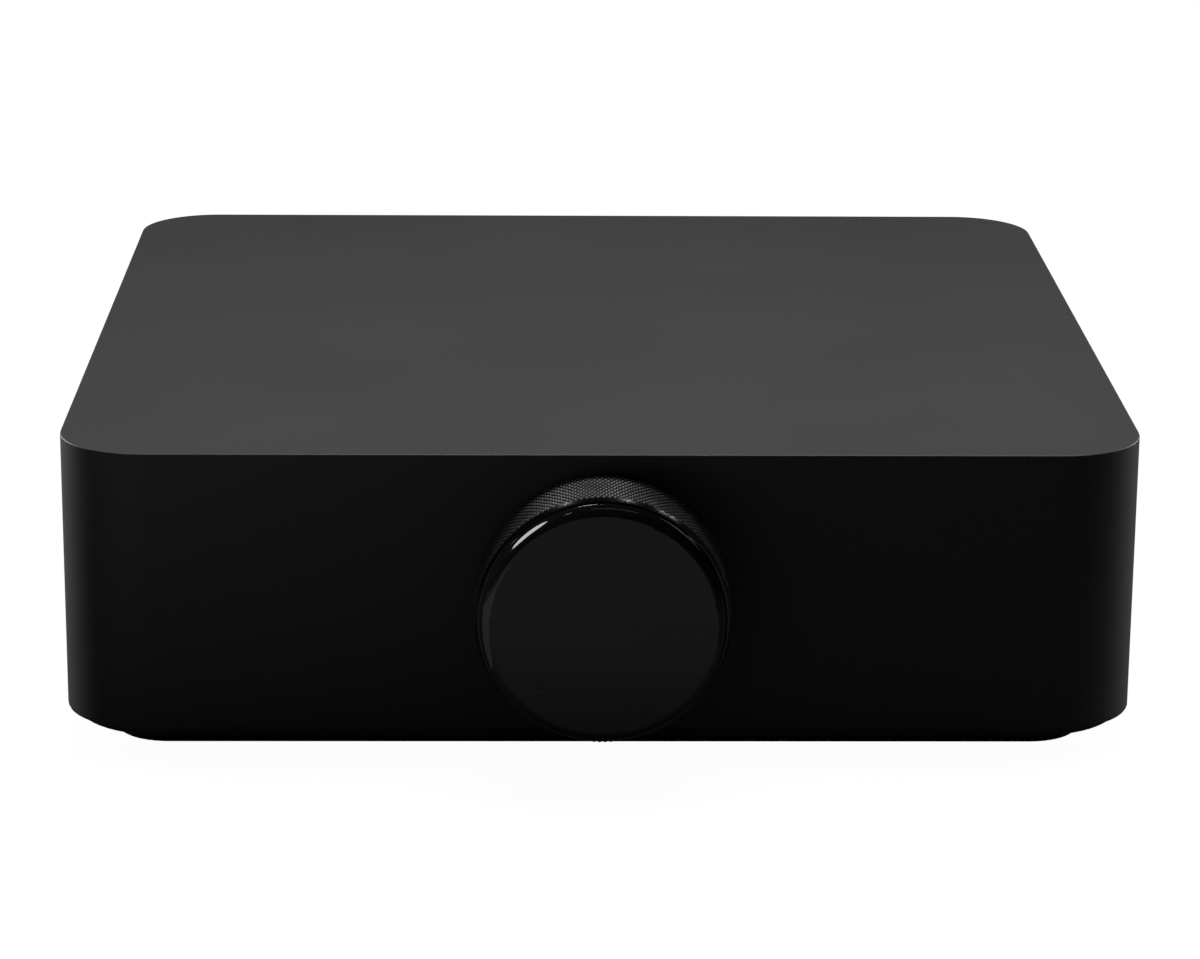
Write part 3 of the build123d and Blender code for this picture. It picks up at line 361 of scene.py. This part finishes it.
def knurled_metal():
    """Dark metal with painted shade in the grooves of the knurl, so that its tips look lighter, and with
    facets worn a little round.
    """
    made = surface(
        "knob_metal", (0.260, 0.260, 0.262), 0.42, metallic=0.9, grain=0.00012, depth=0.000002,
        patch=0.006, spread=0.10, speckle=0.12,
    )
    tree = made.node_tree
    shader = tree.nodes["Principled BSDF"]
    place = add(tree, "ShaderNodeTexCoord")
    across = add(tree, "ShaderNodeVectorMath", operation="MULTIPLY_ADD")
    across.inputs[1].default_value = (1.0, 0.0, 1.0)
    across.inputs[2].default_value = (-ring_middle.x, 0.0, -ring_middle.z)
    tree.links.new(place.outputs["Object"], across.inputs[0])
    reach = add(tree, "ShaderNodeVectorMath", operation="LENGTH")
    tree.links.new(across.outputs["Vector"], reach.inputs[0])
    outward = add(tree, "ShaderNodeVectorTransform", vector_type="NORMAL")
    outward.convert_from = "OBJECT"
    outward.convert_to = "WORLD"
    tree.links.new(across.outputs["Vector"], outward.inputs["Vector"])
    facet = add(tree, "ShaderNodeNewGeometry")
    worn = mixed(tree, "VECTOR", facet_wear, facet.outputs["True Normal"], outward.outputs["Vector"])
    even = add(tree, "ShaderNodeVectorMath", operation="NORMALIZE")
    tree.links.new(worn, even.inputs[0])
    relief = shader.inputs["Normal"].links[0].from_node
    tree.links.new(even.outputs["Vector"], relief.inputs["Normal"])
    # Painted shade: the colour darkens towards the bottoms of the knurl's grooves
    start, end = (ring_radius - knurl_depth * (1.0 - share) for share in groove_shade_reach)
    height = between(tree, reach.outputs["Value"], 0.0, 1.0, start, end)
    tint = shader.inputs["Base Color"].links[0].from_socket
    tree.links.new(blend(tree, height, painted_groove_shade, tint), shader.inputs["Base Color"])
    return made


def circuit_board():
    """Green lacquer over a grid of tracks."""
    made, tree, shader = material("circuit_board")
    place = add(tree, "ShaderNodeTexCoord")
    tracks = add(tree, "ShaderNodeTexBrick")
    tracks.inputs["Scale"].default_value = 1.0
    tracks.inputs["Brick Width"].default_value = track_length
    tracks.inputs["Row Height"].default_value = track_pitch
    tracks.inputs["Mortar Size"].default_value = track_gap
    tree.links.new(place.outputs["Object"], tracks.inputs["Vector"])
    broad = noise(tree, 0.008, 3.0)
    lacquer = blend(tree, broad, (0.006, 0.045, 0.018), (0.010, 0.070, 0.028))
    tint = blend(tree, tracks.outputs["Fac"], lacquer, (0.02, 0.12, 0.05))
    tree.links.new(tint, shader.inputs["Base Color"])
    tree.links.new(between(tree, broad, 0.30, 0.42), shader.inputs["Roughness"])
    bump(tree, shader, tracks.outputs["Fac"], track_relief)
    return made


def copper_winding():
    """Enamelled copper wire, wound in fine turns."""
    made, tree, shader = material("copper_winding")
    place = add(tree, "ShaderNodeTexCoord")
    turns = add(tree, "ShaderNodeTexWave", bands_direction="Z")
    turns.inputs["Scale"].default_value = winding_scale
    turns.inputs["Distortion"].default_value = 1.0
    tree.links.new(place.outputs["Object"], turns.inputs["Vector"])
    tint = blend(tree, turns.outputs["Fac"], (0.18, 0.05, 0.02), (0.55, 0.19, 0.08))
    tree.links.new(tint, shader.inputs["Base Color"])
    tree.links.new(between(tree, noise(tree, 0.003), 0.22, 0.34), shader.inputs["Roughness"])
    shader.inputs["Metallic"].default_value = 0.8
    bump(tree, shader, turns.outputs["Fac"], winding_relief)
    return made


finishes = {
    # The housing's lighter edges are partly wear and partly a painted highlight along the crests of its edges
    "housing_finish": surface(
        "housing_finish", (0.050, 0.050, 0.0505), 0.50, specular=0.5, grain=0.00035, depth=0.000010,
        patch=0.05, spread=0.025, speckle=0.10, roughness_spread=0.02, wear_and_highlight=0.10, wear_and_highlight_radius=0.0003,
    ),
    "knob_metal": knurled_metal(),
    "knob_lip": surface(
        "knob_lip", (0.045, 0.045, 0.0455), 0.16, metallic=0.9, grain=0.0003, depth=0.0000005,
        patch=0.006, spread=0.10, speckle=0.02, roughness_spread=0.02,
    ),
    "black_glass": black_glass(),
    "cover_plastic": surface(
        "cover_plastic", (0.018, 0.018, 0.018), 0.50, grain=0.0005, depth=0.000020, wear_and_highlight=0.1
    ),
    "foot_rubber": surface(
        "foot_rubber", (0.012, 0.012, 0.012), 0.80, specular=0.3, grain=0.0006, depth=0.000030,
        patch=0.012, spread=0.2,
    ),
    "panel_paint": surface(
        "panel_paint", (0.022, 0.022, 0.022), 0.55, grain=0.0005, depth=0.000030, wear_and_highlight=0.15
    ),
    "dark_screw": surface("dark_screw", (0.05, 0.05, 0.052), 0.35, metallic=0.8, grain=0.0002, wear_and_highlight=0.4),
    "bright_steel": surface(
        "bright_steel", (0.55, 0.55, 0.54), 0.28, metallic=1.0, grain=0.0002, stretch=(1, 1, 8)
    ),
    "plain_aluminium": surface("plain_aluminium", (0.60, 0.60, 0.61), 0.38, metallic=1.0, stretch=(1, 1, 10)),
    "gold_plate": surface("gold_plate", (0.75, 0.50, 0.18), 0.22, metallic=1.0, grain=0.0002, depth=0.000003),
    "brass_sheet": surface("brass_sheet", (0.60, 0.42, 0.16), 0.30, metallic=1.0, stretch=(8, 1, 1)),
    "magnet": surface("magnet", (0.10, 0.10, 0.10), 0.42, metallic=0.5, grain=0.0003, depth=0.00002),
    "ferrite": surface("ferrite", (0.030, 0.030, 0.032), 0.60, grain=0.0004, depth=0.00003, wear_and_highlight=0.3),
    "copper_winding": copper_winding(),
    "circuit_board": circuit_board(),
    "black_plastic": surface(
        "black_plastic", (0.016, 0.016, 0.016), 0.42, grain=0.0004, depth=0.000010, wear_and_highlight=0.1
    ),
    "red_plastic": surface("red_plastic", (0.42, 0.018, 0.014), 0.38, grain=0.0004, depth=0.000008, wear_and_highlight=0.1),
    "pale_plastic": surface("pale_plastic", (0.62, 0.60, 0.55), 0.45, grain=0.0004, depth=0.000010),
    "cap_plastic": surface(
        "cap_plastic", (0.020, 0.020, 0.020), 0.36, grain=0.0003, depth=0.000008, wear_and_highlight=0.15
    ),
    "display_module": surface("display_module", (0.008, 0.008, 0.010), 0.20, grain=0.0003, depth=0.000002),
    "flat_cable": surface("flat_cable", (0.30, 0.14, 0.03), 0.35, grain=0.0005, stretch=(6, 1, 1)),
    "capacitor_sleeve": surface("capacitor_sleeve", (0.012, 0.014, 0.030), 0.30, grain=0.0005, depth=0.00001),
}


def dress_nodes():
    """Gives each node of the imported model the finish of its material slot."""
    slots = [entry["slot"] for entry in frame["record"]["materials"]]
    for node in frame["nodes"].values():
        for holder in node.material_slots:
            name = next(slot for slot in slots if holder.material.name.startswith(slot))
            holder.material = finishes[name]


# Control ring

def ring_point(radius, angle, forward):
    """Point at that radius and angle about the ring's axis, that far forward of the front wall."""
    return ring_middle + Vector((radius * math.sin(angle), -forward, radius * math.cos(angle)))


def knurl_row(row):
    """Radii and places of one row of the knurl: tips and valleys in turn, cut by the chamfer at the front."""
    share = row / knurl_half_rows
    points = []
    for column in range(2 * knurl_count):
        tip = (row + column) % 2 == 1
        radius = ring_radius if tip else ring_radius - knurl_depth
        forward = ring_rear + share * (ring_edge - ring_rear)
        if row == knurl_half_rows and not tip:
            forward += (ring_front - ring_edge) * knurl_depth / (ring_radius - ring_lip_radius) / 2
        points.append((radius, forward))
    return points


def control_ring():
    """Knurled ring with its chamfered lip, bore, web, bearing seat and magnet pocket."""
    columns = 2 * knurl_count
    rows = [knurl_row(row) for row in range(knurl_half_rows + 1)]
    profile = [
        (ring_lip_radius + ring_lip_round, ring_front - ring_lip_round),
        (ring_lip_radius, ring_front),
        (ring_bore + ring_lip_round, ring_front),
        (ring_bore, ring_front - ring_lip_round),
        (ring_bore, ring_web_front),
        (ring_web_bore, ring_web_front),
        (ring_web_bore, race_front),
        (race_bore, race_front),
        (race_bore, ring_rear),
        (magnet_inner, ring_rear),
        (magnet_inner, magnet_front),
        (magnet_outer, magnet_front),
        (magnet_outer, ring_rear),
    ]
    rows += [[point] * columns for point in profile]
    mesh = bmesh.new()
    rings = []
    for row in rows:
        angles = [2 * math.pi * column / columns for column in range(columns)]
        rings.append([mesh.verts.new(ring_point(r, a, f)) for (r, f), a in zip(row, angles)])
    for index, lower in enumerate(rings):
        upper = rings[(index + 1) % len(rings)]
        for column in range(columns):
            after = (column + 1) % columns
            corners = [lower[column], lower[after], upper[after], upper[column]]
            if index >= knurl_half_rows:
                face = mesh.faces.new(corners)
                face.smooth = True
                face.material_index = 1
            elif (index + column) % 2 == 0:
                mesh.faces.new([corners[0], corners[1], corners[2]])
                mesh.faces.new([corners[0], corners[2], corners[3]])
            else:
                mesh.faces.new([corners[0], corners[1], corners[3]])
                mesh.faces.new([corners[1], corners[2], corners[3]])
    bmesh.ops.recalc_face_normals(mesh, faces=mesh.faces)
    data = bpy.data.meshes.new("control_ring_knurled")
    mesh.to_mesh(data)
    mesh.free()
    data.set_sharp_from_angle(angle=sharp_angle)
    ring = bpy.data.objects.new("control_ring_knurled", data)
    bpy.context.scene.collection.objects.link(ring)
    data.materials.append(finishes["knob_metal"])
    data.materials.append(finishes["knob_lip"])
    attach(ring, "control_ring")
    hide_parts("knob_ring")
    return ring


# Marks on the rear panel

def mark_point(x, place):
    """Point of the mark centred at x on the rear panel, from a place in mark heights, read from behind."""
    across, up = place
    return Vector((x - across * mark_height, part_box("rear_panel")[1].y, mark_level + up * mark_height))


def stroke(mesh, x, start, end):
    """Thin bar between two places of the mark centred at x."""
    first = mark_point(x, start)
    last = mark_point(x, end)
    along = (last - first).normalized()
    turn = Matrix((along, (0.0, 1.0, 0.0), along.cross((0.0, 1.0, 0.0)))).transposed().to_4x4()
    size = Matrix.Diagonal(((last - first).length + mark_line, 2 * mark_thickness, mark_line, 1.0))
    bmesh.ops.create_cube(mesh, size=1.0, matrix=Matrix.Translation((first + last) / 2) @ turn @ size)


def terminal_marks():
    """Plus and minus signs above the terminals, and a letter for each side."""
    places = {}
    for side in ("left", "right"):
        for sign in ("plus", "minus"):
            low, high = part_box(f"post_cap_{side}_{sign}")
            places[side, sign] = (low.x + high.x) / 2
    mesh = bmesh.new()
    for (side, sign), x in places.items():
        for start, end in mark_strokes[sign]:
            stroke(mesh, x, start, end)
    for side in ("left", "right"):
        for start, end in mark_strokes[side]:
            stroke(mesh, (places[side, "plus"] + places[side, "minus"]) / 2, start, end)
    data = bpy.data.meshes.new("terminal_marks")
    mesh.to_mesh(data)
    mesh.free()
    marks = bpy.data.objects.new("terminal_marks", data)
    bpy.context.scene.collection.objects.link(marks)
    data.materials.append(finishes["pale_plastic"])
    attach(marks, "chassis")


# Floor, background, lamps and camera

def direct_and_mirrored(tree):
    """Masks of the rays that see a surface directly and of the rays that see it mirrored."""
    path = add(tree, "ShaderNodeLightPath")
    direct = add(tree, "ShaderNodeMath", operation="MAXIMUM")
    tree.links.new(path.outputs["Is Camera Ray"], direct.inputs[0])
    tree.links.new(path.outputs["Is Transmission Ray"], direct.inputs[1])
    return direct.outputs["Value"], path.outputs["Is Glossy Ray"]


def times(tree, value, share, extra=0.0):
    """Value times the share, and the extra added to it."""
    total = add(tree, "ShaderNodeMath", operation="MULTIPLY_ADD")
    tree.links.new(value, total.inputs[0])
    total.inputs[1].default_value = share
    plug(tree, total.inputs[2], extra)
    return total.outputs["Value"]


def floor():
    """Wide pale floor. The camera sees it white, apart from the object's faint shadow."""
    half = floor_size / 2
    data = bpy.data.meshes.new("floor")
    corners = [(x, y, floor_level) for x, y in ((-half, -half), (half, -half), (half, half), (-half, half))]
    data.from_pydata(corners, [], [(0, 1, 2, 3)])
    plane = bpy.data.objects.new("floor", data)
    bpy.context.scene.collection.objects.link(plane)
    made, tree, shader = material("floor")
    shader.inputs["Base Color"].default_value = (*floor_colour, 1.0)
    shader.inputs["Roughness"].default_value = 1.0
    shader.inputs["Specular IOR Level"].default_value = 0.0
    direct, mirrored = direct_and_mirrored(tree)
    glow = times(tree, mirrored, floor_glossy_glow, times(tree, direct, floor_glow))
    tree.links.new(glow, shader.inputs["Emission Strength"])
    shader.inputs["Emission Color"].default_value = (1.0, 1.0, 1.0, 1.0)
    data.materials.append(made)


def background():
    """White background behind the object, and a dim room for the light that reaches it."""
    world = bpy.data.worlds.new("background")
    world.use_nodes = True
    bpy.context.scene.world = world
    tree = world.node_tree
    shade = tree.nodes["Background"]
    direct, mirrored = direct_and_mirrored(tree)
    dim = times(tree, mirrored, backdrop_glossy_glow, room_glow)
    tree.links.new(mixed(tree, "FLOAT", direct, dim, backdrop_glow), shade.inputs["Strength"])
    shade.inputs["Color"].default_value = (1.0, 1.0, 1.0, 1.0)


def receivers(name, nodes, state):
    """Collection that keeps a lamp's light to some objects, or keeps it off them."""
    group = bpy.data.collections.new(name)
    for node in nodes:
        group.objects.link(node)
    for entry in group.collection_objects:
        entry.light_linking.link_state = state
    return group


def lamp(name, place, target, size, glow, group, shape="RECTANGLE", turn=0.0):
    """Flat lamp of that brightness, where 1 is a lit white sheet. It lights what its group says."""
    data = bpy.data.lights.new(name, "AREA")
    data.shape = shape
    data.size, data.size_y = size
    data.energy = glow * math.pi * size[0] * size[1]
    light = bpy.data.objects.new(name, data)
    facing = (target - place).to_track_quat("-Z", "Y").to_matrix().to_4x4()
    light.matrix_world = Matrix.Translation(place) @ facing @ Matrix.Rotation(turn, 4, "Z")
    light.light_linking.receiver_collection = group
    light.visible_camera = False
    bpy.context.scene.collection.objects.link(light)


def lamps(ring):
    """Lamps for the body, and lamps whose mirror images the glass and the ring's lip show."""
    down = Vector((0.0, 0.0, -1.0))
    up = Vector((0.0, 0.0, 1.0))
    lens = frame["nodes"]["glass_lens"]
    housing = receivers("without_knob", [lens, ring], "EXCLUDE")
    knob = receivers("knob_only", [lens, ring], "INCLUDE")
    body = receivers("without_glass", [lens], "EXCLUDE")
    glass = receivers("glass_only", [lens], "INCLUDE")
    metal = receivers("ring_only", [ring], "INCLUDE")
    lamp("ceiling_lamp", ceiling_place, ceiling_place + down, ceiling_size, ceiling_glow, housing)
    lamp("left_lamp", left_place, left_target, left_size, left_glow, body)
    lamp("right_lamp", right_place, right_target, right_size, right_glow, body)
    lamp("side_lamp", side_place, side_target, side_size, side_glow, body)
    place = Vector((far_floor_middle, far_floor_start - far_floor_size[1] / 2, pale_floor_lift))
    lamp("far_floor", place, place + up, far_floor_size, far_floor_glow, housing)
    for number, start in enumerate(front_floor_starts, 1):
        place = Vector((front_floor_middle, start - front_floor_size[1] / 2, number * front_floor_lift))
        lamp(f"front_floor_{number}", place, place + up, front_floor_size, front_floor_glow, knob)
    lamp("softbox", softbox_place, softbox_target, softbox_size, softbox_glow, glass, "ELLIPSE", softbox_turn)
    lamp("strip_lamp", strip_place, strip_place + down, strip_size, strip_glow, glass)
    lamp("dim_lamp", dim_place, dim_target, dim_size, dim_glow, glass)
    for number, size in enumerate(left_floor_sizes, 1):
        lamp(f"left_floor_{number}", left_floor_place, left_floor_place + up, size, left_floor_glow, glass)
    lamp("ring_lamp", ring_lamp_place, ring_lamp_place + down, ring_lamp_size, ring_lamp_glow, metal)
    for number, (x, glow) in enumerate(zip(spot_xs, ring_spot_glows), 1):
        place = Vector((x, ring_spot_y, strip_place.z))
        lamp(f"ring_spot_{number}", place, place + down, ring_spot_size, glow, metal)
    for number, x in enumerate(spot_xs[:glass_spots], 1):
        place = Vector((x, glass_spot_y, strip_place.z))
        lamp(f"glass_spot_{number}", place, place + down, glass_spot_size, glass_spot_glow, glass)


def camera():
    """Camera at the photograph's place and angle."""
    data = bpy.data.cameras.new("camera")
    data.lens = camera_lens
    data.sensor_width = camera_sensor
    eye = bpy.data.objects.new("camera", data)
    turn = Matrix.Rotation(-camera_yaw, 4, "Z") @ Matrix.Rotation(math.pi / 2 - camera_pitch, 4, "X")
    eye.matrix_world = Matrix.Translation(camera_place) @ turn @ Matrix.Rotation(camera_roll, 4, "Z")
    bpy.context.scene.collection.objects.link(eye)
    bpy.context.scene.camera = eye


dress_nodes()
ring = control_ring()
terminal_marks()
floor()
background()
lamps(ring)
camera()
bpy.context.scene.view_settings.view_transform = "Standard"
